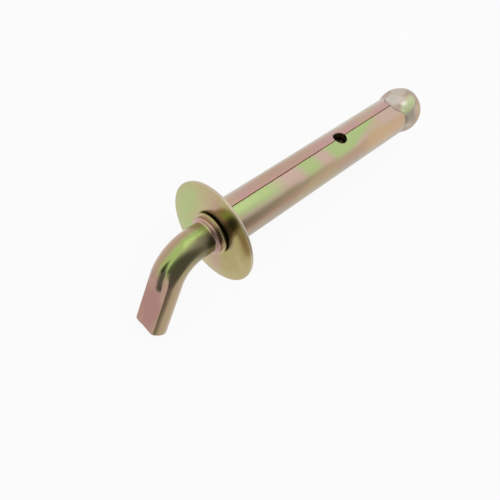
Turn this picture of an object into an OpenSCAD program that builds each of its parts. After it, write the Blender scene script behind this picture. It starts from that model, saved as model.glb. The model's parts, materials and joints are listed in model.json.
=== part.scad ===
// Expansion hook bolt: a bent round rod with a forged collar, a loose plate washer,
// a rolled sleeve with an open seam, and a ball nut that a key holds in the sleeve's mouth.
// Each piece is drawn on the bolt's own axis: the wall face is z = 0, the hook side is +z,
// and the leg bends towards +x. lie_down() then lays the bolt on washer rim, nut and hook tip.

/* [Hook rod] */
// Diameter of the round rod
rod_d = 9.8; // [8:0.1:12]
// Straight rod from the washer to the start of the bend
neck_len = 6.8; // [5:0.1:20]
// Radius of the bend, to the middle of the rod
bend_r = 11.5; // [8:0.5:25]
// Angle through which the rod is bent
bend_angle = 65; // [50:1:90]
// How much the rod's radius thins where it is bent
bend_thin = 0.04; // [0.02:0.01:0.2]
// Straight leg after the bend
leg_len = 16.3; // [14:0.1:60]
// Length of the flat on the outer side of the leg, up to the tip
flat_len = 13.7; // [4:0.1:13.9]
// Depth of the flat below the round of the rod
flat_depth = 1.9; // [0.5:0.1:3]
// Length over which the flat runs out towards the bend
flat_run = 1.6; // [0.4:0.1:3]
// Bevel round the tip and round the threaded end
end_bevel = 0.5; // [0.1:0.1:1]
// Depth of the threaded end below the back of the nut
end_recess = 0.8; // [0.2:0.1:2]

/* [Collar] */
// Step of the flange that bears on the washer, over the rod
flange_step = 1.8; // [1:0.1:4]
// Thickness of the flange
flange_t = 0.9; // [0.5:0.1:2]
// Step of the rounded ring in front of the flange, over the rod
ring_step = 1.1; // [0.6:0.1:3]
// Thickness of the rounded ring
ring_t = 1.5; // [0.8:0.1:3]
// Radius of the hollow from the ring to the rod
ring_fillet = 0.6; // [0.2:0.1:1.5]

/* [Washer] */
// Outer diameter of the washer
washer_d = 32.4; // [24:0.2:45]
// Thickness of the washer
washer_t = 0.8; // [0.6:0.1:3]
// Radius on the washer's edges
washer_edge = 0.2; // [0.1:0.05:0.3]

/* [Sleeve] */
// Wall of the sleeve
sleeve_wall = 1.7; // [1:0.1:2.5]
// Length of the sleeve
sleeve_len = 87; // [60:0.5:120]
// Radius on the sleeve's outer edges
sleeve_edge = 0.3; // [0.1:0.05:0.5]
// Width of the open seam
seam_gap = 0.3; // [0.2:0.1:1.2]
// Angle of the seam round the bolt, from the leg's side
seam_turn = 169; // [90:1:270]
// Diameter of the round relief hole on the seam
relief_d = 4.8; // [3:0.1:6]
// Distance of the relief hole from the nut's end of the sleeve
relief_back = 31.9; // [15:0.1:45]

/* [Ball nut] */
// How far the ball stands proud of the sleeve
ball_step = 1; // [0.3:0.1:2]
// Width of the flat ring at the back of the ball, round the thread
back_rim = 0.3; // [0.1:0.1:1]
// Width of the key at its tip, across the seam
key_w = 3.6; // [2:0.1:6]
// Length of the key inside the sleeve's mouth
key_len = 3.2; // [2:0.1:6]
// Slant of the key's sides
key_slant = 38; // [0:1:40]
// Bevel at the back of the nut's thread
thread_bevel = 0.3; // [0.1:0.1:0.6]

/* [Clearances] */
// Room between the nut's thread and the rod
thread_gap = 0.05; // [0.02:0.01:0.1]
// Room between the washer and the rod
washer_gap = 0.4; // [0.2:0.1:1]
// Room between the sleeve and the rod
sleeve_gap = 0.4; // [0.2:0.1:1]
// Room between flat faces that meet on the axis
face_gap = 0.15; // [0.05:0.05:0.4]
// Room round the key in its notch
key_gap = 0.25; // [0.1:0.05:0.5]
// Room between the ball and the sleeve's mouth
seat_gap = 0.15; // [0.05:0.05:0.4]

/* [Hidden] */
$fn = 96;
overrun = 1;

rod_r = rod_d / 2;
washer_r = washer_d / 2;
flange_r = rod_r + flange_step;
ring_r = rod_r + ring_step;
ring_edge = min(ring_t, ring_step) / 2;
flange_edge = flange_t / 3;
bore_r = rod_r + sleeve_gap;
sleeve_r = bore_r + sleeve_wall;
ball_r = sleeve_r + ball_step;
thread_r = rod_r + thread_gap;
back_r = thread_r + thread_bevel + back_rim;

// Places along the axis
flange_z = washer_t + face_gap;
ring_z = flange_z + flange_t;
bend_z = washer_t + neck_len;
mouth_z = -face_gap - sleeve_len;
relief_z = mouth_z + relief_back;
ball_z = mouth_z - sqrt(pow(ball_r + seat_gap, 2) - pow(bore_r, 2));
back_z = ball_z - sqrt(pow(ball_r, 2) - pow(back_r, 2));
end_z = back_z + end_recess;
key_z = mouth_z + key_len;

// End of the bend and middle of the tip, in the plane of the hook
bend_end = [bend_r * (1 - cos(bend_angle)), 0, bend_z + bend_r * sin(bend_angle)];
leg_dir = [sin(bend_angle), 0, cos(bend_angle)];
tip = bend_end + leg_len * leg_dir;

// Angle by which the thinner bend runs on inside the straight rod at either end
bend_lap = acos(1 - bend_thin / (2 * bend_r));

// Lying position: tilt of the axis, from the washer's rounded rim and the ball
rim_r = washer_r - washer_edge;
rim_to_ball = washer_edge - ball_z;
lie_tilt = atan2(rim_r, rim_to_ball) - asin((ball_r - washer_edge) / norm([rim_r, rim_to_ball]));
floor_z = ball_z * sin(lie_tilt) - ball_r;

// Lying position: how far the leg hangs below the level, until its tip is down on the floor
roll_steps = 40;
tip_rings = [[rod_r, end_bevel], [rod_r - end_bevel, 0]];
function up_dir(drop) = [-cos(lie_tilt) * sin(drop), cos(lie_tilt) * cos(drop), sin(lie_tilt)];
function ring_low(up, r, back) = (tip - back * leg_dir) * up - r * sqrt(1 - pow(leg_dir * up, 2));
function tip_low(drop) = min([for (ring = tip_rings) ring_low(up_dir(drop), ring[0], ring[1])]);
function find_drop(low, high, steps) =
    let (mid = (low + high) / 2)
    steps == 0 ? mid
    : tip_low(mid) > floor_z ? find_drop(mid, high, steps - 1)
    : find_drop(low, mid, steps - 1);
leg_drop = find_drop(0, 90, roll_steps);

module lie_down() {
    rotate([0, 90 - lie_tilt, 0])
        rotate([0, 0, 90 - leg_drop])
            children();
}

// Half of a disc's section, with round edges on its outer side
module disc_section(inner_r, outer_r, low, high, edge) {
    translate([inner_r, low])
        square([outer_r - edge - inner_r, high - low]);
    translate([outer_r - 2 * edge, low + edge])
        square([2 * edge, high - low - 2 * edge]);
    for (z = [low + edge, high - edge])
        translate([outer_r - edge, z])
            circle(r = edge);
}

// Outline of the key, across the seam and along the axis, with extra room all round
module key_outline(room) {
    tip_half = key_w / 2 + room;
    reach = key_z + room - ball_z;
    root_half = tip_half + reach * tan(key_slant);
    polygon([[-root_half, ball_z], [root_half, ball_z], [tip_half, key_z + room], [-tip_half, key_z + room]]);
}

// The key's outline as a bar that runs out through the wall on the seam's side
module key_bar(room, reach) {
    rotate([90, 0, 90])
        linear_extrude(reach)
            key_outline(room);
}

module collar() {
    rotate_extrude()
        disc_section(0, flange_r, flange_z, ring_z, flange_edge);
    rotate_extrude()
        disc_section(0, ring_r, flange_z, ring_z + ring_t, ring_edge);
    rotate_extrude()
        difference() {
            translate([0, ring_z])
                square([rod_r + ring_fillet, ring_t + ring_fillet]);
            translate([rod_r + ring_fillet, ring_z + ring_t + ring_fillet])
                circle(r = ring_fillet);
        }
}

module threaded_shank() {
    translate([0, 0, end_z + end_bevel])
        cylinder(h = bend_z - end_z - end_bevel, r = rod_r);
    translate([0, 0, end_z])
        cylinder(h = end_bevel, r1 = rod_r - end_bevel, r2 = rod_r);
}

module bend() {
    translate([bend_r, 0, bend_z])
        rotate([90, 0, 180])
            rotate([0, 0, -bend_lap])
                rotate_extrude(angle = bend_angle + 2 * bend_lap)
                    translate([bend_r, 0])
                        circle(r = rod_r - bend_thin);
}

module along_leg() {
    translate(bend_end)
        rotate([0, bend_angle, 0])
            children();
}

module leg() {
    along_leg() {
        cylinder(h = leg_len - end_bevel, r = rod_r);
        translate([0, 0, leg_len - end_bevel])
            cylinder(h = end_bevel, r1 = rod_r, r2 = rod_r - end_bevel);
    }
}

// What is pressed away on the outer side of the leg
module tip_flat() {
    flat_h = rod_r - flat_depth;
    flat_start = leg_len - flat_len;
    along_leg()
        rotate([90, 0, 0])
            linear_extrude(2 * rod_d, center = true)
                polygon([
                    [-rod_r, flat_start],
                    [-flat_h, flat_start + flat_run],
                    [-flat_h, leg_len + overrun],
                    [-rod_d, leg_len + overrun],
                    [-rod_d, flat_start]
                ]);
}

module hook_bolt() {
    color("darkkhaki")
        lie_down()
            difference() {
                union() {
                    threaded_shank();
                    collar();
                    bend();
                    leg();
                }
                tip_flat();
            }
}

module washer() {
    color("khaki")
        lie_down()
            rotate_extrude()
                disc_section(rod_r + washer_gap, washer_r, 0, washer_t, washer_edge);
}

module expansion_sleeve() {
    color("rosybrown")
        lie_down()
            rotate([0, 0, seam_turn])
                difference() {
                    rotate_extrude()
                        disc_section(bore_r, sleeve_r, mouth_z, -face_gap, sleeve_edge);
                    translate([0, -seam_gap / 2, mouth_z - overrun])
                        cube([sleeve_r + overrun, seam_gap, sleeve_len + 2 * overrun]);
                    translate([0, 0, relief_z])
                        rotate([0, 90, 0])
                            cylinder(h = sleeve_r + overrun, d = relief_d);
                    key_bar(key_gap, sleeve_r + overrun);
                }
}

module ball_nut() {
    color("tan")
        lie_down()
            rotate([0, 0, seam_turn])
                difference() {
                    union() {
                        translate([0, 0, ball_z])
                            sphere(r = ball_r);
                        intersection() {
                            translate([0, 0, ball_z])
                                cylinder(h = key_z - ball_z, r = sleeve_r);
                            key_bar(0, sleeve_r + overrun);
                        }
                    }
                    translate([0, 0, ball_z - ball_r])
                        cylinder(h = 2 * ball_r + key_len + overrun, r = thread_r);
                    translate([0, 0, back_z - ball_r])
                        cylinder(h = ball_r, r = ball_r);
                    translate([0, 0, back_z])
                        cylinder(h = thread_bevel, r1 = thread_r + thread_bevel, r2 = thread_r);
                }
}

hook_bolt();
washer();
expansion_sleeve();
ball_nut();
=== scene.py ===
import json
import math

import bmesh
import bpy
from mathutils import Color, Euler, Matrix, Vector


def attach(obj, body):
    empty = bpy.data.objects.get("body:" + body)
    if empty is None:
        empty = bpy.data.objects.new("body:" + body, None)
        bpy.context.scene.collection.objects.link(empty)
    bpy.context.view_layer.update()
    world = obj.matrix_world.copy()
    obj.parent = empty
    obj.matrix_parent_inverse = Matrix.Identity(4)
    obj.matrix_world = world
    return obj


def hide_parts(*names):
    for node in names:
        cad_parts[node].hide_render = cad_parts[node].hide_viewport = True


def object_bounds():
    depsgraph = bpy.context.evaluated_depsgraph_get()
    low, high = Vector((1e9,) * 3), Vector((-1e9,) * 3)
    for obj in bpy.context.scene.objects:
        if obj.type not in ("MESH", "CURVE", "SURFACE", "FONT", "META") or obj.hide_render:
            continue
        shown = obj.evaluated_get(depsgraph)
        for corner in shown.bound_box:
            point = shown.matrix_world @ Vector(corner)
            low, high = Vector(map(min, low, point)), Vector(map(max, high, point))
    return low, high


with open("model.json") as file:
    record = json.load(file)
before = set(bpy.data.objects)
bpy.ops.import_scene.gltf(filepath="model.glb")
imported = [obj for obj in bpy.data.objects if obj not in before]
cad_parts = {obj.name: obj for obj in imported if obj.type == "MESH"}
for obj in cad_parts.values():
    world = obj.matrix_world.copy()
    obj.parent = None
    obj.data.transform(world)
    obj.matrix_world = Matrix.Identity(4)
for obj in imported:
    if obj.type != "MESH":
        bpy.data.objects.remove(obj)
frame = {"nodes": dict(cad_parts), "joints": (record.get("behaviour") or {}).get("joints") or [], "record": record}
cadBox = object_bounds()
print("frame loaded:", sorted(frame["nodes"]))

# The bolt's own axes, read from the frame: pieces are modelled upright in millimetres and then laid down
joints = {joint["name"]: joint for joint in frame["joints"]}
mounts = {mount["name"]: mount for mount in frame["record"]["mounts"]}
boltAxis = Vector(joints["hook_turn"]["axis"]).normalized()
legAxis = Vector(mounts["hook_leg"]["axis"]).normalized()
legSide = (legAxis - boltAxis * legAxis.dot(boltAxis)).normalized()
acrossSide = boltAxis.cross(legSide)
mm = 0.001
lieDown = Matrix((legSide, acrossSide, boltAxis)).transposed().to_4x4() @ Matrix.Scale(mm, 4)
yAcross = Vector((0, 1, 0))
zUp = Vector((0, 0, 1))
fullTurn = 2 * math.pi

# Sizes that pieces share, in millimetres on the bolt's axis with the wall face at zero
bolt = {
    "rodR": 4.9, "boreR": 5.3, "sleeveR": 7.0, "sleeveLen": 87.0, "washerT": 0.8,
    "ballR": 8.0, "backR": 5.55,  # the nut's ball, and the edge of its open back
    "faceGap": 0.15, "seatGap": 0.15,  # room between flat faces, and between the ball and the sleeve's mouth
    "seamTurn": math.radians(169),  # the sleeve's seam, round from the leg's side
}
mouthZ = -bolt["faceGap"] - bolt["sleeveLen"]
ballZ = mouthZ - math.sqrt((bolt["ballR"] + bolt["seatGap"]) ** 2 - bolt["boreR"] ** 2)
backZ = ballZ - math.sqrt(bolt["ballR"] ** 2 - bolt["backR"] ** 2)

weld = 1e-5  # points nearer than this become one
onPlane = 1e-6  # points nearer than this to a slice count as on it
smoothTo = 35  # degrees up to which the faces beside an edge are shaded as one


# Shapes

def ease(value, low, high):  # 0 below low, 1 above high
    share = min(max((value - low) / (high - low), 0), 1)
    return share * share * (3 - 2 * share)


def hump(value, first, top, last):  # 0 before first and after last, 1 at the top
    return ease(value, first, top) * (1 - ease(value, top, last))


def softOver(over, soft):  # what stands above a limit, with a rounded start
    if over >= soft:
        return over
    return max(0, over + soft) ** 2 / (4 * soft)


def arcPoints(centre, radius, start, end, steps):
    turns = [math.radians(start + (end - start) * k / steps) for k in range(steps + 1)]
    return [(centre[0] + radius * math.cos(t), centre[1] + radius * math.sin(t)) for t in turns]


def allOf(bm):
    return bm.verts[:] + bm.edges[:] + bm.faces[:]


def vertsOf(edges):
    return list({vert for edge in edges for vert in edge.verts})


def rimEdges(bm):
    return [edge for edge in bm.edges if edge.is_boundary]


def sharpEdges(bm, degrees):
    limit = math.radians(degrees)
    return [edge for edge in bm.edges if len(edge.link_faces) == 2 and edge.calc_face_angle(0) > limit]


def addLine(bm, points, closed=False):  # points of (radius, height) become a chain of edges
    verts = [bm.verts.new((r, 0, z)) for r, z in points]
    pairs = list(zip(verts, verts[1:])) + ([(verts[-1], verts[0])] if closed else [])
    return verts + [bm.edges.new(pair) for pair in pairs]


def revolve(bm, points, segments, closed=False):
    chain = addLine(bm, points, closed)
    bmesh.ops.spin(bm, geom=chain, cent=(0, 0, 0), axis=zUp, angle=fullTurn, steps=segments, use_merge=True)
    bmesh.ops.remove_doubles(bm, verts=bm.verts, dist=weld)


def extrudeRim(bm, rim):  # a new rim that starts on the old one, and its points
    made = bmesh.ops.extrude_edge_only(bm, edges=rim)["geom"]
    rim = [item for item in made if isinstance(item, bmesh.types.BMEdge) and item.is_boundary]
    return rim, vertsOf(rim)


def bevelCorners(bm, piece):  # rounds every edge that is sharper than the piece's cornerFrom
    bmesh.ops.recalc_face_normals(bm, faces=bm.faces)
    corners = sharpEdges(bm, piece["cornerFrom"])
    bmesh.ops.bevel(bm, geom=corners, offset=piece["edge"], offset_type="OFFSET", affect="EDGES",
                    segments=piece["edgeSteps"], profile=0.5, material=-1, clamp_overlap=True)


def sliceAcross(bm, places, way):
    for place in places:
        bmesh.ops.bisect_plane(bm, geom=allOf(bm), dist=onPlane, plane_co=Vector(way) * place, plane_no=way)


# Rolls a flat outline of (arc, height) about the axis and gives it a wall on its inner side
def rollSheet(bm, outline, radius, wall, strips, rows=0):
    bm.faces.new([bm.verts.new((u, 0, z)) for u, z in outline])
    for side, parts, way in ((0, strips, (1, 0, 0)), (1, rows, (0, 0, 1))):
        low = min(point[side] for point in outline)
        high = max(point[side] for point in outline)
        sliceAcross(bm, [low + (high - low) * k / parts for k in range(1, parts)], way)
    for vert in bm.verts:
        turn = vert.co.x / radius
        vert.co = Vector((radius * math.cos(turn), radius * math.sin(turn), vert.co.z))
    bmesh.ops.recalc_face_normals(bm, faces=bm.faces)
    outward = 0
    for face in bm.faces:
        middle = face.calc_center_median()
        outward += face.normal.dot(Vector((middle.x, middle.y, 0)))
    if outward < 0:
        bmesh.ops.reverse_faces(bm, faces=bm.faces)
    bmesh.ops.solidify(bm, geom=bm.faces[:], thickness=wall)


def meshOf(name, bm):
    mesh = bpy.data.meshes.new(name)
    bm.to_mesh(mesh)
    bm.free()
    return mesh


def addObject(name, data):
    made = bpy.data.objects.new(name, data)
    bpy.context.scene.collection.objects.link(made)
    return made


def joinInto(bm, other):
    bmesh.ops.recalc_face_normals(other, faces=other.faces)
    mesh = meshOf("joined", other)
    bm.from_mesh(mesh)
    bpy.data.meshes.remove(mesh)


def finishPiece(name, bm, body, node):
    bmesh.ops.remove_doubles(bm, verts=bm.verts, dist=weld)
    bmesh.ops.recalc_face_normals(bm, faces=bm.faces)
    for face in bm.faces:
        face.smooth = True
    for edge in sharpEdges(bm, smoothTo):
        edge.smooth = False
    bmesh.ops.transform(bm, matrix=lieDown, verts=bm.verts)
    piece = addObject(name, meshOf(name, bm))
    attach(piece, body)
    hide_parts(node)
    print(name, "made:", len(piece.data.polygons), "faces")
    return piece


# Hook rod: threaded end, shank, forged collar, bend and flattened leg

hook = {
    "segments": 240, "bendSteps": 44, "legSteps": 80,
    "pitch": 1.5, "threadDepth": 0.9, "threadTop": -60.0, "threadSteps": 48,
    "threadForm": ((0, 0.0), (0, 0.12), (1, 0.46), (1, 0.62), (0, 1.0)),  # shares of depth and pitch
    "threadSpare": 2,  # turns below the end, which are cut off again
    "threadWeld": 1e-4,  # joins each turn to the next
    "endRecess": 0.8, "endBevel": 0.5,  # the threaded end lies inside the nut, and both ends have a bevel
    "shankLap": 0.5,  # how far the smooth shank reaches into the thread
    "flangeR": 6.7, "flangeT": 0.9, "flangeEdge": 0.3, "flangeSteps": 4,
    "groove": ((0.12, 0.02), (0.0, 0.15)),  # between flange and ring: out from the ring, up from the flange
    "ringR": 6.0, "ringT": 1.5, "ringEdge": 0.55, "fillet": 0.6, "ringSteps": 6,
    "ringTo": 80, "filletFrom": 265,  # degrees where the ring's round ends and the fillet starts
    "neckLen": 6.8, "bendR": 11.5, "bendAngle": math.radians(65), "legLen": 16.3,
    "flatStart": -8.0, "flatRun": 13.0,  # along the rod, from where the leg starts
    "flatH": 3.0, "flatSoft": 0.35,  # height over the rod's middle, and how soft the edges are
    "flatEdge": math.radians(52),  # where one edge stays, round from the outer side, while the flat runs out
    "flatLean": math.radians(27),  # the most that the flat leans for it
    "creaseDepth": 0.4,  # start, deepest and end follow, along the rod and in degrees round it
    "creaseRun": (-9, 2.0, 4.5), "creaseTurns": (7, 18, 29),
    "endCore": 0.4,  # radius inside which the end is filled
    "endSlant": 1.3, "endDome": 0.7, "endRun": 3.0,  # what the end gains, and the length it fades over
    "endLongSide": (0.8, -0.6),  # the way to the end's long side: across, and outward on the bend
    "endLongFrom": -0.4,  # share of the radius where the slant starts
}
threadEnd = backZ + hook["endRecess"]
flangeZ = bolt["washerT"] + bolt["faceGap"]
flangeTop = flangeZ + hook["flangeT"]
ringTop = flangeTop + hook["ringT"]
neckTop = bolt["washerT"] + hook["neckLen"]
legDir = Vector((math.sin(hook["bendAngle"]), 0, math.cos(hook["bendAngle"])))
legOut = Vector((-legDir.z, 0, legDir.x))  # the outer side of the bend
bendCentre = Vector((hook["bendR"], 0, neckTop))
legStart = bendCentre + legOut * hook["bendR"]


def threadShell():
    bm = bmesh.new()
    root = bolt["rodR"] - hook["threadDepth"]
    pitch = hook["pitch"]
    low = threadEnd - hook["threadSpare"] * pitch
    chain = addLine(bm, [(root + d * hook["threadDepth"], low + p * pitch) for d, p in hook["threadForm"]])
    bmesh.ops.spin(bm, geom=chain, cent=(0, 0, 0), axis=zUp, dvec=(0, 0, pitch / hook["threadSteps"]),
                   angle=fullTurn, steps=hook["threadSteps"])
    oneTurn = allOf(bm)
    for k in range(1, math.ceil((hook["threadTop"] - low) / pitch)):
        copied = bmesh.ops.duplicate(bm, geom=oneTurn)["geom"]
        raised = [item for item in copied if isinstance(item, bmesh.types.BMVert)]
        bmesh.ops.translate(bm, vec=(0, 0, pitch * k), verts=raised)
    bmesh.ops.remove_doubles(bm, verts=bm.verts, dist=hook["threadWeld"])
    for place, side in ((threadEnd, -1), (hook["threadTop"], 1)):
        bmesh.ops.bisect_plane(bm, geom=allOf(bm), dist=weld, plane_co=(0, 0, place), plane_no=(0, 0, side),
                               clear_outer=True)
    bmesh.ops.holes_fill(bm, edges=rimEdges(bm), sides=0)
    for vert in bm.verts:  # bevel of the end
        room = bolt["rodR"] - hook["endBevel"] + vert.co.z - threadEnd
        across = math.hypot(vert.co.x, vert.co.y)
        if across > room:
            vert.co.x *= room / across
            vert.co.y *= room / across
    return bm


def rodProfile():
    r = bolt["rodR"]
    low = hook["threadTop"] - hook["shankLap"]
    edge = hook["flangeEdge"]
    ringEdge, fillet, steps = hook["ringEdge"], hook["fillet"], hook["ringSteps"]
    flangeIn = hook["flangeR"] - edge
    points = [(0, low), (r - hook["threadDepth"], low), (r, low + hook["threadDepth"]), (r, flangeZ)]
    points += arcPoints((flangeIn, flangeZ + edge), edge, -90, 0, hook["flangeSteps"])
    points += arcPoints((flangeIn, flangeTop - edge), edge, 0, 90, hook["flangeSteps"])
    points += [(hook["ringR"] + out, flangeTop + up) for out, up in hook["groove"]]
    points += arcPoints((hook["ringR"] - ringEdge, ringTop - ringEdge), ringEdge, 0, hook["ringTo"], steps)
    points += arcPoints((r + fillet, ringTop + fillet), fillet, hook["filletFrom"], 180, steps)
    return points + [(r, neckTop)]


# The rod's middle beside a point, the bend's outer side there, and how far it is past the leg's start
def rodPlace(point):
    along = (point - legStart).dot(legDir)
    if along > 0:
        return legStart + legDir * along, legOut, along
    ray = (Vector((point.x, 0, point.z)) - bendCentre).normalized()
    bent = math.atan2(ray.z, -ray.x) - hook["bendAngle"]
    return bendCentre + ray * hook["bendR"], ray, bent * hook["bendR"]


def pressRod(bm):  # the flat on the leg's outer side, and the crease that runs up from it
    soft = hook["flatSoft"]
    unpressed = bolt["rodR"] + soft
    for vert in bm.verts:
        if vert.co.z < neckTop - weld:
            continue
        middle, outward, station = rodPlace(vert.co)
        turn = math.degrees(math.atan2(vert.co.y, (vert.co - middle).dot(outward)))
        share = ease(station, hook["flatStart"], hook["flatStart"] + hook["flatRun"])
        limit = unpressed + (hook["flatH"] - unpressed) * share
        half = math.acos(min(limit / bolt["rodR"], 1))
        lean = min(max(hook["flatEdge"] - half, 0), hook["flatLean"])
        pressDir = outward * math.cos(lean) + yAcross * math.sin(lean)
        vert.co -= pressDir * softOver((vert.co - middle).dot(pressDir) - limit, soft)
        depth = hook["creaseDepth"] * hump(station, *hook["creaseRun"]) * hump(turn, *hook["creaseTurns"])
        vert.co -= (vert.co - middle).normalized() * depth


def closeEnd(bm, rim, straight):  # the bevel and the face at the leg's end
    tip = legStart + legDir * straight
    bevel = hook["endBevel"]
    for inset, rise in ((bevel, bevel), (bolt["rodR"] - bevel - hook["endCore"], 0)):
        rim, moved = extrudeRim(bm, rim)
        for vert in moved:
            away = vert.co - tip
            away -= legDir * away.dot(legDir)
            vert.co += legDir * rise - away.normalized() * min(inset, away.length)
    bmesh.ops.holes_fill(bm, edges=rimEdges(bm), sides=0)


def skewEnd(bm, straight):  # the leg's end is a little askew and domed
    r = bolt["rodR"]
    acrossShare, outShare = hook["endLongSide"]
    shareFrom = hook["endLongFrom"]
    for vert in bm.verts:
        reach = (vert.co - legStart).dot(legDir)
        out = (vert.co - legStart).dot(legOut)
        under = (acrossShare * vert.co.y + outShare * out) / r
        longer = hook["endSlant"] * min(max((under - shareFrom) / (1 - shareFrom), 0), 1)
        longer += hook["endDome"] * max(1 - (out ** 2 + vert.co.y ** 2) / r ** 2, 0)
        vert.co += legDir * longer * ease(reach, straight - hook["endRun"], straight)


def hookRod():
    bm = bmesh.new()
    revolve(bm, rodProfile(), hook["segments"])
    rim = rimEdges(bm)
    bend = bmesh.ops.spin(bm, geom=rim + vertsOf(rim), cent=bendCentre, axis=yAcross,
                          angle=hook["bendAngle"], steps=hook["bendSteps"])
    rim = [item for item in bend["geom_last"] if isinstance(item, bmesh.types.BMEdge)]
    straight = hook["legLen"] - hook["endBevel"]
    for k in range(hook["legSteps"]):
        rim, moved = extrudeRim(bm, rim)
        bmesh.ops.translate(bm, vec=legDir * straight / hook["legSteps"], verts=moved)
    pressRod(bm)
    closeEnd(bm, rim, straight)
    skewEnd(bm, straight)
    joinInto(bm, threadShell())
    return finishPiece("hook_rod", bm, "hook", "hook_bolt")


# Plate washer, stamped from sheet

plate = {"outerR": 16.2, "edge": 0.2, "edgeSteps": 3, "cornerFrom": 60, "segments": 192}


def plateWasher():
    bm = bmesh.new()
    inner, outer, top = bolt["boreR"], plate["outerR"], bolt["washerT"]
    revolve(bm, [(inner, 0), (outer, 0), (outer, top), (inner, top)], plate["segments"], closed=True)
    bevelCorners(bm, plate)
    return finishPiece("plate_washer", bm, "washer", "washer")


# Sleeve, rolled from a punched sheet

sleeve = {
    "wall": 1.7, "strips": 120, "seamGap": 0.3, "edge": 0.15, "edgeSteps": 3, "cornerFrom": 60,
    "reliefR": 2.4, "reliefBack": 31.9, "reliefSteps": 20,  # the hole's place is measured from the mouth
    "notchTip": 2.05, "notchDeep": 3.45, "notchSlant": math.radians(38),
}
reliefZ = mouthZ + sleeve["reliefBack"]
notchZ = mouthZ + sleeve["notchDeep"]


def arcAcross(half):  # the way round the sleeve that spans a straight half width
    return math.asin(half / bolt["sleeveR"]) * bolt["sleeveR"]


# One long edge of the sheet, from the wall end to the nut's end, as (arc back from the seam, height)
def sheetEdge():
    half = sleeve["seamGap"] / 2
    reach = math.sqrt(sleeve["reliefR"] ** 2 - half ** 2)
    start = math.degrees(math.atan2(reach, half))
    relief = arcPoints((0, reliefZ), sleeve["reliefR"], start, -start, sleeve["reliefSteps"])
    notchMouth = sleeve["notchTip"] + sleeve["notchDeep"] * math.tan(sleeve["notchSlant"])
    notch = [(arcAcross(sleeve["notchTip"]), notchZ), (arcAcross(notchMouth), mouthZ)]
    return [(half, -bolt["faceGap"])] + relief + [(half, notchZ)] + notch


def rolledSleeve():
    bm = bmesh.new()
    seamArc = math.pi * bolt["sleeveR"]
    oneSide = [(seamArc - back, z) for back, z in sheetEdge()]
    otherSide = [(back - seamArc, z) for back, z in reversed(sheetEdge())]
    rollSheet(bm, oneSide + otherSide, bolt["sleeveR"], sleeve["wall"], sleeve["strips"])
    bmesh.ops.rotate(bm, matrix=Matrix.Rotation(bolt["seamTurn"] + math.pi, 3, "Z"), verts=bm.verts)
    bmesh.ops.remove_doubles(bm, verts=bm.verts, dist=weld)
    bevelCorners(bm, sleeve)
    return finishPiece("rolled_sleeve", bm, "sleeve", "expansion_sleeve")


# Expander nut: a ball with a key that lies in the sleeve's notch

nut = {
    "threadR": 4.95, "threadBevel": 0.3, "segments": 128, "ballSteps": 40,
    "shoulderR": 6.75, "shoulderEdge": 0.2, "shoulderSteps": 4,
    "keyTip": 1.92, "keyDeep": 3.33, "keyMouth": 4.55,  # half widths, and the reach into the mouth
    "lobe": ((48, -89.9), (30, -94.4), (16, -97.2)),  # over the ball: degrees from the seam, and height
    "keyLift": 0.2, "keySoft": 0.15, "keyParts": (24, 28),
    "edge": 0.15, "edgeSteps": 3, "cornerFrom": 50,
}


def shoulder():  # place of the nut's shoulder, and the angle at which its flare runs on to the ball
    place = Vector((nut["shoulderR"], mouthZ - bolt["faceGap"] - nut["shoulderEdge"]))
    away = place - Vector((0, ballZ))
    return place, math.atan2(away.y, away.x) - math.acos(bolt["ballR"] / away.length)


def nutRadius(z):
    place, touch = shoulder()
    if z < ballZ + bolt["ballR"] * math.sin(touch):
        return math.sqrt(max(bolt["ballR"] ** 2 - (z - ballZ) ** 2, 0))
    return place.x - (z - place.y) * math.tan(touch)


def nutKey():  # its back follows the ball, a little proud of it
    bm = bmesh.new()
    r = bolt["sleeveR"]
    side = [(arcAcross(nut["keyTip"]), mouthZ + nut["keyDeep"]), (arcAcross(nut["keyMouth"]), mouthZ)]
    side += [(math.radians(half) * r, z) for half, z in nut["lobe"]]
    rollSheet(bm, side + [(-u, z) for u, z in reversed(side)], r, r - nut["threadR"], *nut["keyParts"])
    for vert in bm.verts:
        across = math.hypot(vert.co.x, vert.co.y)
        if across > (r + nut["threadR"]) / 2:
            grow = (r + softOver(nutRadius(vert.co.z) + nut["keyLift"] - r, nut["keySoft"])) / across
            vert.co.x *= grow
            vert.co.y *= grow
    bmesh.ops.rotate(bm, matrix=Matrix.Rotation(bolt["seamTurn"], 3, "Z"), verts=bm.verts)
    bevelCorners(bm, nut)
    return bm


def expanderNut():
    bm = bmesh.new()
    place, touch = shoulder()
    edge, bevel = nut["shoulderEdge"], nut["threadBevel"]
    low = -math.degrees(math.acos(bolt["backR"] / bolt["ballR"]))
    points = [(nut["threadR"], place.y + edge)]
    points += arcPoints((place.x - edge, place.y), edge, 90, 0, nut["shoulderSteps"])
    points += arcPoints((0, ballZ), bolt["ballR"], math.degrees(touch), low, nut["ballSteps"])
    points += [(nut["threadR"] + bevel, backZ), (nut["threadR"], backZ + bevel)]
    revolve(bm, points, nut["segments"], closed=True)
    joinInto(bm, nutKey())
    return finishPiece("expander_nut", bm, "nut", "ball_nut")


# Shader maths: a wire is a socket that Python's operators work on

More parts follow.
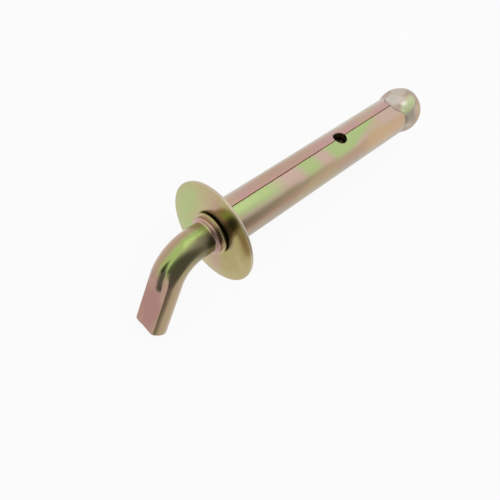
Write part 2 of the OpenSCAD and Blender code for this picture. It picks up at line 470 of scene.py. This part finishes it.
class Wire:
    def __init__(self, tree, socket=None):
        self.tree = tree
        self.socket = socket

    def feed(self, socket, value):  # links a wire to a socket, or sets the socket's own value
        if isinstance(value, Wire):
            self.tree.links.new(value.socket, socket)
        else:
            socket.default_value = value

    def node(self, kind, settings=None, inputs=None, out=0):
        made = self.tree.nodes.new(kind)
        for key, value in (settings or {}).items():
            if key == "stops":
                self.setStops(made.color_ramp, value)
            else:
                setattr(made, key, value)
        for key, value in (inputs or {}).items():
            self.feed(made.inputs[key], value)
        return Wire(self.tree, made.outputs[out])

    def setStops(self, ramp, stops):
        while len(ramp.elements) < len(stops):
            ramp.elements.new(1.0)
        for element, (place, shade) in zip(ramp.elements, stops):
            element.position = place
            element.color = shade

    def math(self, operation, *values):
        return self.node("ShaderNodeMath", {"operation": operation}, dict(enumerate(values)))

    def __add__(self, other):
        return self.math("ADD", self, other)

    def __radd__(self, other):
        return self.math("ADD", other, self)

    def __sub__(self, other):
        return self.math("SUBTRACT", self, other)

    def __rsub__(self, other):
        return self.math("SUBTRACT", other, self)

    def __mul__(self, other):
        return self.math("MULTIPLY", self, other)

    def __rmul__(self, other):
        return self.math("MULTIPLY", other, self)

    def __abs__(self):
        return self.math("ABSOLUTE", self)

    def dot(self, way):  # a vector's length along a fixed way
        return self.node("ShaderNodeVectorMath", {"operation": "DOT_PRODUCT"}, {0: self, 1: way}, "Value")

    def smooth(self, low, high):  # 0 below low, 1 above high
        return self.node("ShaderNodeMapRange", {"interpolation_type": "SMOOTHSTEP"},
                         {"Value": self, "From Min": low, "From Max": high})

    def between(self, rise, fall):  # up over the first range, and down again over the second
        return self.smooth(*rise) * (1 - self.smooth(*fall))

    def band(self, low, high, soft):  # 1 between low and high
        return self.between((low - soft, low + soft), (high - soft, high + soft))

    def ramp(self, stops):
        return self.node("ShaderNodeValToRGB", {"stops": stops}, {"Fac": self})

    def mixTo(self, colourA, colourB):
        return self.node("ShaderNodeMix", {"data_type": "RGBA"}, {0: self, 6: colourA, 7: colourB}, 2)


def shade(red, green, blue):  # 0 to 255 as seen on a screen, to the linear values that nodes take
    seen = Color((red / 255, green / 255, blue / 255))
    return tuple(seen.from_srgb_to_scene_linear()) + (1.0,)


# Colours of the zinc's film, with the colours for painted shade and painted light among them, and the clear coat
# over all of them

film = {
    "pearl": shade(212, 206, 194),
    "mauve": shade(198, 184, 170),
    "shell": shade(198, 172, 156),
    "pink": shade(192, 162, 148),
    "rose": shade(192, 152, 146),
    "blush": shade(170, 128, 120),
    "tan": shade(184, 154, 130),
    "sand": shade(172, 158, 140),
    "straw": shade(188, 174, 128),
    "moss": shade(152, 146, 108),
    "green": shade(168, 194, 124),
    "fern": shade(174, 188, 122),
    "lime": shade(160, 178, 104),
    "olive": shade(172, 158, 98),
    "gold": shade(202, 170, 128),
    "khaki": shade(170, 148, 116),
    # painted shade: the dark brown for holes, rims, steps and dark reflections
    "paintedShadeBrown": shade(96, 86, 66),
    # painted shade for the crease
    "paintedCreaseDark": shade(70, 64, 48),
    "cocoa": shade(196, 138, 108),
    # painted light for the seam's cut faces
    "seamBounceLight": shade(228, 168, 136),
    "mint": shade(196, 206, 160),
    # painted highlight colour
    "highlightWhite": shade(238, 240, 222),
}
clearCoat = {"weight": 0.2, "roughness": 0.2}


class Plating:  # one zinc-plated finish: its node tree, its place on the bolt in millimetres and its shader
    def __init__(self, name):
        self.material = bpy.data.materials.new(name)
        self.material.use_nodes = True
        tree = self.material.node_tree
        self.shader = tree.nodes["Principled BSDF"]
        self.start = Wire(tree)
        place = self.start.node("ShaderNodeTexCoord", out="Object")
        self.x, self.y, self.z = [place.dot(side / mm) for side in (legSide, acrossSide, boltAxis)]
        self.place = self.start.node("ShaderNodeCombineXYZ", None, {"X": self.x, "Y": self.y, "Z": self.z})

    def noise(self, across, along, detail, shift):  # waves a millimetre, across the bolt and along it
        stretched = self.start.node("ShaderNodeVectorMath", {"operation": "MULTIPLY"},
                                    {0: self.place, 1: (across, across, along)}, "Vector")
        return self.start.node("ShaderNodeTexNoise", {"noise_dimensions": "4D"},
                               {"Vector": stretched, "W": shift, "Scale": 1.0, "Detail": detail})

    def drift(self, waves):  # noise about zero
        return self.noise(*waves) - 0.5

    def length(self, first, second):
        return self.start.math("SQRT", first * first + second * second)

    def fromSeam(self):  # millimetres towards the seam's side of the bolt, and square to that
        cos, sin = math.cos(bolt["seamTurn"]), math.sin(bolt["seamTurn"])
        return self.x * cos + self.y * sin, self.y * cos - self.x * sin

    def degreesFromSeam(self):
        near, aside = self.fromSeam()
        return self.start.math("ARCTAN2", aside, near) * math.degrees(1)

    def spread(self, value, wide, stops):  # colours over a width that has zero in its middle
        shares = [(place / wide + 0.5, film[name]) for place, name in stops]
        return (value * (1 / wide) + 0.5).ramp(shares)

    def layer(self, colour, mask, paint):  # paint is a film's name and its strength
        name, strength = paint
        return (strength * mask).mixTo(colour, film[name])

    def patchOfToneOrLight(self, colour, angle, drift, spot):  # a ragged patch between two turns and two heights, used for tones of the film and for painted light and shade
        turnStray, runStray = spot["stray"]
        patch = (angle + turnStray * drift).band(*spot["turns"])
        patch *= (self.z + runStray * drift).band(*spot["run"])
        return self.layer(colour, patch, spot["paint"])

    def finish(self, colour, look):  # fine marks roughen the film
        marks = self.noise(*look["marks"])
        least, more = look["rough"]
        depth = look["markDepth"] * mm
        bump = self.start.node("ShaderNodeBump", None, {"Height": marks, "Strength": 1.0, "Distance": depth})
        sockets = {
            "Base Color": colour, "Metallic": 1.0, "Roughness": least + more * marks, "Normal": bump,
            "Coat Weight": clearCoat["weight"], "Coat Roughness": clearCoat["roughness"],
        }
        for name, value in sockets.items():
            self.start.feed(self.shader.inputs[name], value)
        return self.material


# Finishes. Turns are degrees from the seam and runs are heights on the axis, as from, to and softness,
# or as the range where they rise and the range where they fall. Strays are how far noise moves an edge

sleeveLook = {
    "drift": (0.14, 0.07, 2.0, 3.0), "tintDrift": (0.05, 0.05, 2.0, 9.0),
    "round": (
        (-180, "pink"), (-120, "sand"), (-85, "sand"), (-68, "tan"), (-50, "tan"), (-37, "shell"),
        (-2, "shell"), (0, "rose"), (13, "rose"), (28, "pink"), (44, "mauve"), (62, "pearl"), (100, "mauve"),
        (150, "pink"), (180, "pink"),
    ),
    "roundWide": 360, "roundStray": 24,
    "tint": ("straw", 0.4), "tintFrom": (0.0, 0.08),
    "faded": {"paint": ("tan", 0.7), "turns": (4, 40, 8), "run": (-44, -16, 8), "stray": (20, 12)},
    # painted reflection: a darker moss band along one side, standing in for the dark side of the room mirrored
    # there
    "darkReflectionBand": {"paint": ("moss", 0.65), "turns": (-54, -42, 8), "run": (-41, 30, 11), "stray": (12, 0)},
    "warm": {"paint": ("gold", 0.7), "turns": (-88, -42, 10), "run": (-130, -65, 7), "stray": (30, 10)},
    "green": ("green", 0.85), "greenRuns": ((-22, 4, 5), (-40, -32, 2), (-95, -46, 2)),
    "greenStray": 8, "greenSlant": -0.06,
    "greenStop": (-80, -70), "greenStopSlant": 0.4,
    "strip": ((-40, -16), (-1, 1)),  # the green keeps to one side of the seam
    "stripStray": 16, "stripSlant": -0.35,
    "outside": (0, 1),  # millimetres from the axis towards the seam
    # painted light: the seam's cut faces are lightened, standing in for light bounced into the narrow seam
    "cut": ("seamBounceLight", 1.0), "cutSoft": 0.05,
    # painted shade: the relief hole's inner wall is darkened
    "hole": ("paintedShadeBrown", 0.75), "holeSoft": 0.2,
    "marks": (2.5, 0.12, 3.0, 2.0), "markDepth": 0.02, "rough": (0.28, 0.12),
}


def sleevePlating():
    zinc = Plating("sleeve_zinc")
    look = sleeveLook
    angle = zinc.degreesFromSeam()
    drift = zinc.drift(look["drift"])
    colour = zinc.spread(angle + look["roundStray"] * drift, look["roundWide"], look["round"])
    colour = zinc.layer(colour, zinc.drift(look["tintDrift"]).smooth(*look["tintFrom"]), look["tint"])
    for spot in (look["faded"], look["darkReflectionBand"], look["warm"]):
        colour = zinc.patchOfToneOrLight(colour, angle, drift, spot)
    place = zinc.z + look["greenStray"] * drift
    patches = sum((place + look["greenSlant"] * angle).band(*run) for run in look["greenRuns"])
    patches *= (place + look["greenStopSlant"] * angle).smooth(*look["greenStop"])
    stripStart, stripEnd = look["strip"]
    strip = (angle + look["stripStray"] * drift + look["stripSlant"] * zinc.z).smooth(*stripStart)
    strip *= 1 - angle.smooth(*stripEnd)
    colour = zinc.layer(colour, strip * patches, look["green"])
    near, aside = zinc.fromSeam()
    outside = near.smooth(*look["outside"])
    half = sleeve["seamGap"] / 2
    # painted light on the seam's cut faces
    cut = outside * (1 - abs(aside).smooth(half, half + look["cutSoft"]))
    colour = zinc.layer(colour, cut, look["cut"])
    # painted shade inside the relief hole
    fromHole = zinc.length(aside, zinc.z - reliefZ)
    hole = outside * (1 - fromHole.smooth(sleeve["reliefR"], sleeve["reliefR"] + look["holeSoft"]))
    colour = zinc.layer(colour, hole, look["hole"])
    return zinc.finish(colour, look)


washerLook = {
    "drift": (0.09, 0.09, 2.0, 2.0), "tintDrift": (0.16, 0.16, 2.0, 6.0),
    "across": (
        (-13.6, "fern"), (-8.16, "fern"), (-2.72, "straw"), (1.02, "tan"), (5.44, "olive"), (15.3, "olive"),
    ),
    "acrossWide": 34, "acrossStray": 10,
    "tint": ("straw", 0.5), "tintFrom": (0.02, 0.16),
    "outer": ("straw", 0.5), "outerFrom": (12.0, 15.5), "outerStray": 6,
    # painted highlight: the rim is lighter, standing in for the bright light its face reflects
    "rim": ("mauve", 0.7), "rimFrom": (15.8, 16.1),
    "paintedDarkReflection": ("paintedShadeBrown", 0.7), "reflectionTo": (5.2, 6.5), "reflectionLean": 0.28,  # painted reflection: the collar's dark side mirrored in the washer, beside the collar on one side
    "marks": (1.6, 1.6, 3.0, 4.0), "markDepth": 0.01, "rough": (0.15, 0.08),
}


def washerPlating():
    zinc = Plating("washer_zinc")
    look = washerLook
    drift = zinc.drift(look["drift"])
    colour = zinc.spread(zinc.y + look["acrossStray"] * drift, look["acrossWide"], look["across"])
    colour = zinc.layer(colour, zinc.drift(look["tintDrift"]).smooth(*look["tintFrom"]), look["tint"])
    radius = zinc.length(zinc.x, zinc.y)
    outer = (radius + look["outerStray"] * drift).smooth(*look["outerFrom"])
    colour = zinc.layer(colour, outer, look["outer"])
    # painted highlight on the rim
    colour = zinc.layer(colour, radius.smooth(*look["rimFrom"]), look["rim"])
    # painted reflection of the collar's dark side, in the washer's colour
    fromReflection = radius - look["reflectionLean"] * (zinc.y - zinc.x) + drift
    colour = zinc.layer(colour, 1 - fromReflection.smooth(*look["reflectionTo"]), look["paintedDarkReflection"])
    return zinc.finish(colour, look)


rodLook = {
    "drift": (0.1, 0.1, 2.0, 2.0), "flatDrift": (0.1, 0.1, 1.0, 8.0),
    "across": (
        (-4.4, "mauve"), (-2.8, "tan"), (-0.8, "khaki"), (0.5, "lime"), (1.9, "lime"), (3.4, "moss"),
        (5.0, "moss"),
    ),
    "acrossWide": 10, "acrossStray": 2.0,
    "paintedDarkReflection": ("paintedShadeBrown", 0.6), "reflectionSide": (1.2, 2.8), "reflectionTo": (8, 14), "reflectionStray": 4,  # painted dark reflection on the neck
    "flat": ((-0.1, "blush"), (0.2, "tan")), "flatWide": 1,
    "under": ("khaki", 1.0), "underSide": (3.2, 4.2),
    "legFrom": (-0.5, 5.0), "legStray": 4,
    "creaseShade": ("paintedCreaseDark", 0.95), "creaseShadeSides": ((-0.4, 0.8), (1.7, 2.3)), "creaseShadeSlant": 0.1,  # painted shade in the crease
    "creaseShadeRun": ((-7, -3), (2.0, 3.8)),  # along the leg, from its start
    "ring": "rose", "flange": ("straw", 1.0), "flangeFrom": (5.9, 6.2),
    # painted shade on the flange's lower rim
    "rimShade": ("paintedShadeBrown", 0.9), "rimFrom": (6.3, 6.5), "rimTo": (1.25, 1.5),
    "collarStrength": 0.8, "collarTo": (3.0, 4.4),
    "hidden": "cocoa", "hiddenRun": (-84, -1, 0.5),  # what shows through the seam, with painted shade where it lies under the relief hole
    "dark": ("paintedShadeBrown", 1.0), "darkRun": (-58.5, -52, 0.5),
    "marks": (1.2, 1.2, 3.0, 4.0), "markDepth": 0.01, "rough": (0.14, 0.1),
}


def rodPlating():
    zinc = Plating("rod_zinc")
    look = rodLook
    drift = zinc.drift(look["drift"])
    side = zinc.y + look["acrossStray"] * drift
    bent = zinc.spread(side, look["acrossWide"], look["across"])
    # painted reflection: a dark stripe on one side of the neck
    onNeck = 1 - (zinc.z + look["reflectionStray"] * drift).smooth(*look["reflectionTo"])
    bent = zinc.layer(bent, side.smooth(*look["reflectionSide"]) * onNeck, look["paintedDarkReflection"])
    leg = zinc.spread(zinc.drift(look["flatDrift"]), look["flatWide"], look["flat"])
    leg = zinc.layer(leg, side.smooth(*look["underSide"]), look["under"])
    colour = (zinc.x + look["legStray"] * drift).smooth(*look["legFrom"]).mixTo(bent, leg)
    along = (zinc.x - legStart.x) * legDir.x + (zinc.z - legStart.z) * legDir.z
    # painted shade: a dark stripe along the crease
    oneSide, otherSide = look["creaseShadeSides"]
    creaseShade = (zinc.y + look["creaseShadeSlant"] * along).smooth(*oneSide) * (1 - zinc.y.smooth(*otherSide))
    colour = zinc.layer(colour, creaseShade * along.between(*look["creaseShadeRun"]), look["creaseShade"])
    radius = zinc.length(zinc.x, zinc.y)
    collar = zinc.layer(film[look["ring"]], radius.smooth(*look["flangeFrom"]), look["flange"])
    # painted shade on the flange's lower rim, which the washer mirrors
    rim = radius.smooth(*look["rimFrom"]) * (1 - zinc.z.smooth(*look["rimTo"]))
    collar = zinc.layer(collar, rim, look["rimShade"])
    colour = (look["collarStrength"] * (1 - zinc.z.smooth(*look["collarTo"]))).mixTo(colour, collar)
    # painted shade on the shank under the relief hole
    hidden = zinc.layer(film[look["hidden"]], zinc.z.band(*look["darkRun"]), look["dark"])
    colour = zinc.z.band(*look["hiddenRun"]).mixTo(colour, hidden)
    return zinc.finish(colour, look)


nutLook = {
    "drift": (0.16, 0.16, 2.0, 2.0),
    "mottle": ((-0.12, "pink"), (0, "sand"), (0.12, "mauve")), "mottleWide": 1,
    "warm": {"paint": ("gold", 0.6), "turns": (-95, -38, 10), "run": (-120, -92.5, 1.5), "stray": (40, 4)},
    "rimSlant": 0.25,  # runs along the edge of the key's lobe
    "tongue": ("mint", 0.9), "tongueTurns": (-50, -10, 7), "tongueStray": 10,
    "tongueRim": ((-102.2, -101.2), (-95.5, -91)), "tongueFrom": (-95.5, -93),
    # painted shade: a thin dark line in the step at the key lobe's edge
    "stepShade": ("paintedShadeBrown", 0.5), "stepShadeTurns": (-46, -26, 5), "stepShadeRim": (-102.7, -102.0, 0.3),
    "pale": {"paint": ("pearl", 0.7), "turns": (-10, 36, 8), "run": (-91, -85, 1.5), "stray": (10, 0)},
    # painted highlight: a near-white spot at the key's edge
    "paintedHighlight": {"paint": ("highlightWhite", 0.8), "turns": (-23, -13, 5), "run": (-90.4, -88.2, 0.9), "stray": (12, 2)},
    "marks": (1.5, 1.5, 3.0, 4.0), "markDepth": 0.03, "rough": (0.38, 0.12),
}


def nutPlating():
    zinc = Plating("nut_zinc")
    look = nutLook
    angle = zinc.degreesFromSeam()
    drift = zinc.drift(look["drift"])
    colour = zinc.spread(drift, look["mottleWide"], look["mottle"])
    colour = zinc.patchOfToneOrLight(colour, angle, drift, look["warm"])
    rim = zinc.z + look["rimSlant"] * angle
    tongue = (angle + look["tongueStray"] * drift).band(*look["tongueTurns"])
    tongue *= rim.between(*look["tongueRim"]) * zinc.z.smooth(*look["tongueFrom"])
    colour = zinc.layer(colour, tongue, look["tongue"])
    # painted shade along the step at the key lobe's edge
    stepShade = angle.band(*look["stepShadeTurns"]) * rim.band(*look["stepShadeRim"])
    colour = zinc.layer(colour, stepShade, look["stepShade"])
    for spot in (look["pale"], look["paintedHighlight"]):  # the painted highlight is a bright spot at the key's edge
        colour = zinc.patchOfToneOrLight(colour, angle, drift, spot)
    return zinc.finish(colour, look)


# Studio: floor, world, lamp and camera, in millimetres and degrees

studio = {
    "floorSize": 4000, "floorShade": 0.9, "floorGlow": 0.92,
    "cameraPlace": (66.352, -26.37, 148.974), "cameraTurn": (2.273, -28.942, 148.686),
    "lens": 41.07, "sensor": 36.0, "clip": (10, 20000),
    "worldLevel": 1.0, "darkLevel": 0.18,
    "darkSide": (0.47, 0.67, 0.57), "darkNear": (0.3, 0.75),  # which way it is, and cosines from its middle
    "darkRise": (0.12, 0.34),  # sines of the height at which it starts
    "keyPlace": (-154, -423, 536), "keySize": 450, "keyPower": 0.25,
}
white = (1, 1, 1, 1)


def floorMaterial():  # glows white to the eye and in mirrors, and still takes the shadow
    material = bpy.data.materials.new("floor_white")
    material.use_nodes = True
    tree = material.node_tree
    tree.nodes.clear()
    start = Wire(tree)
    paper = start.node("ShaderNodeBsdfDiffuse", None, {"Color": (studio["floorShade"],) * 3 + (1,)})
    glow = start.node("ShaderNodeEmission", None, {"Color": white, "Strength": 1.0})
    seen = start.node("ShaderNodeLightPath", out="Is Camera Ray")
    mirrored = start.node("ShaderNodeLightPath", out="Is Glossy Ray")
    through = start.node("ShaderNodeLightPath", out="Is Transmission Ray")
    factor = start.math("MAXIMUM", start.math("MAXIMUM", seen, mirrored), through) * studio["floorGlow"]
    mixed = start.node("ShaderNodeMixShader", None, {0: factor, 1: paper, 2: glow})
    end = tree.nodes.new("ShaderNodeOutputMaterial")
    start.feed(end.inputs["Surface"], mixed)
    return material


def makeFloor():
    bm = bmesh.new()
    bmesh.ops.create_grid(bm, x_segments=1, y_segments=1, size=studio["floorSize"] * mm / 2)
    bmesh.ops.translate(bm, vec=(0, 0, cadBox[0].z), verts=bm.verts)
    floor = addObject("floor", meshOf("floor", bm))
    floor.data.materials.append(floorMaterial())


def makeWorld():  # a bright room with one dark side
    world = bpy.data.worlds.new("studio")
    bpy.context.scene.world = world
    world.use_nodes = True
    start = Wire(world.node_tree)
    way = start.node("ShaderNodeTexCoord", out="Generated")
    near = way.dot(Vector(studio["darkSide"]).normalized())
    dark = near.smooth(*studio["darkNear"]) * way.dot(zUp).smooth(*studio["darkRise"])
    level = studio["worldLevel"] * (1 - (1 - studio["darkLevel"]) * dark)
    back = world.node_tree.nodes["Background"]
    start.feed(back.inputs["Strength"], level)
    start.feed(back.inputs["Color"], white)


def makeLamp():  # looks at the frame's origin, on the wall face
    data = bpy.data.lights.new("key", "AREA")
    data.size = studio["keySize"] * mm
    data.energy = studio["keyPower"]
    lamp = addObject("key", data)
    lamp.location = Vector(studio["keyPlace"]) * mm
    lamp.rotation_euler = (-lamp.location).to_track_quat("-Z", "Y").to_euler()


def makeCamera():
    data = bpy.data.cameras.new("camera")
    data.lens = studio["lens"]
    data.sensor_width = studio["sensor"]
    data.clip_start, data.clip_end = [place * mm for place in studio["clip"]]
    camera = addObject("camera", data)
    camera.location = Vector(studio["cameraPlace"]) * mm
    camera.rotation_euler = Euler([math.radians(turn) for turn in studio["cameraTurn"]], "XYZ")
    bpy.context.scene.camera = camera


# Build

for make, plating in ((hookRod, rodPlating), (plateWasher, washerPlating), (rolledSleeve, sleevePlating),
                      (expanderNut, nutPlating)):
    made = make()
    made.data.materials.append(plating())
makeFloor()
makeWorld()
makeLamp()
makeCamera()
print("floor, world, lamp and camera made")
bpy.context.scene.view_settings.view_transform = "Standard"
bpy.context.view_layer.update()
print("scene ready")
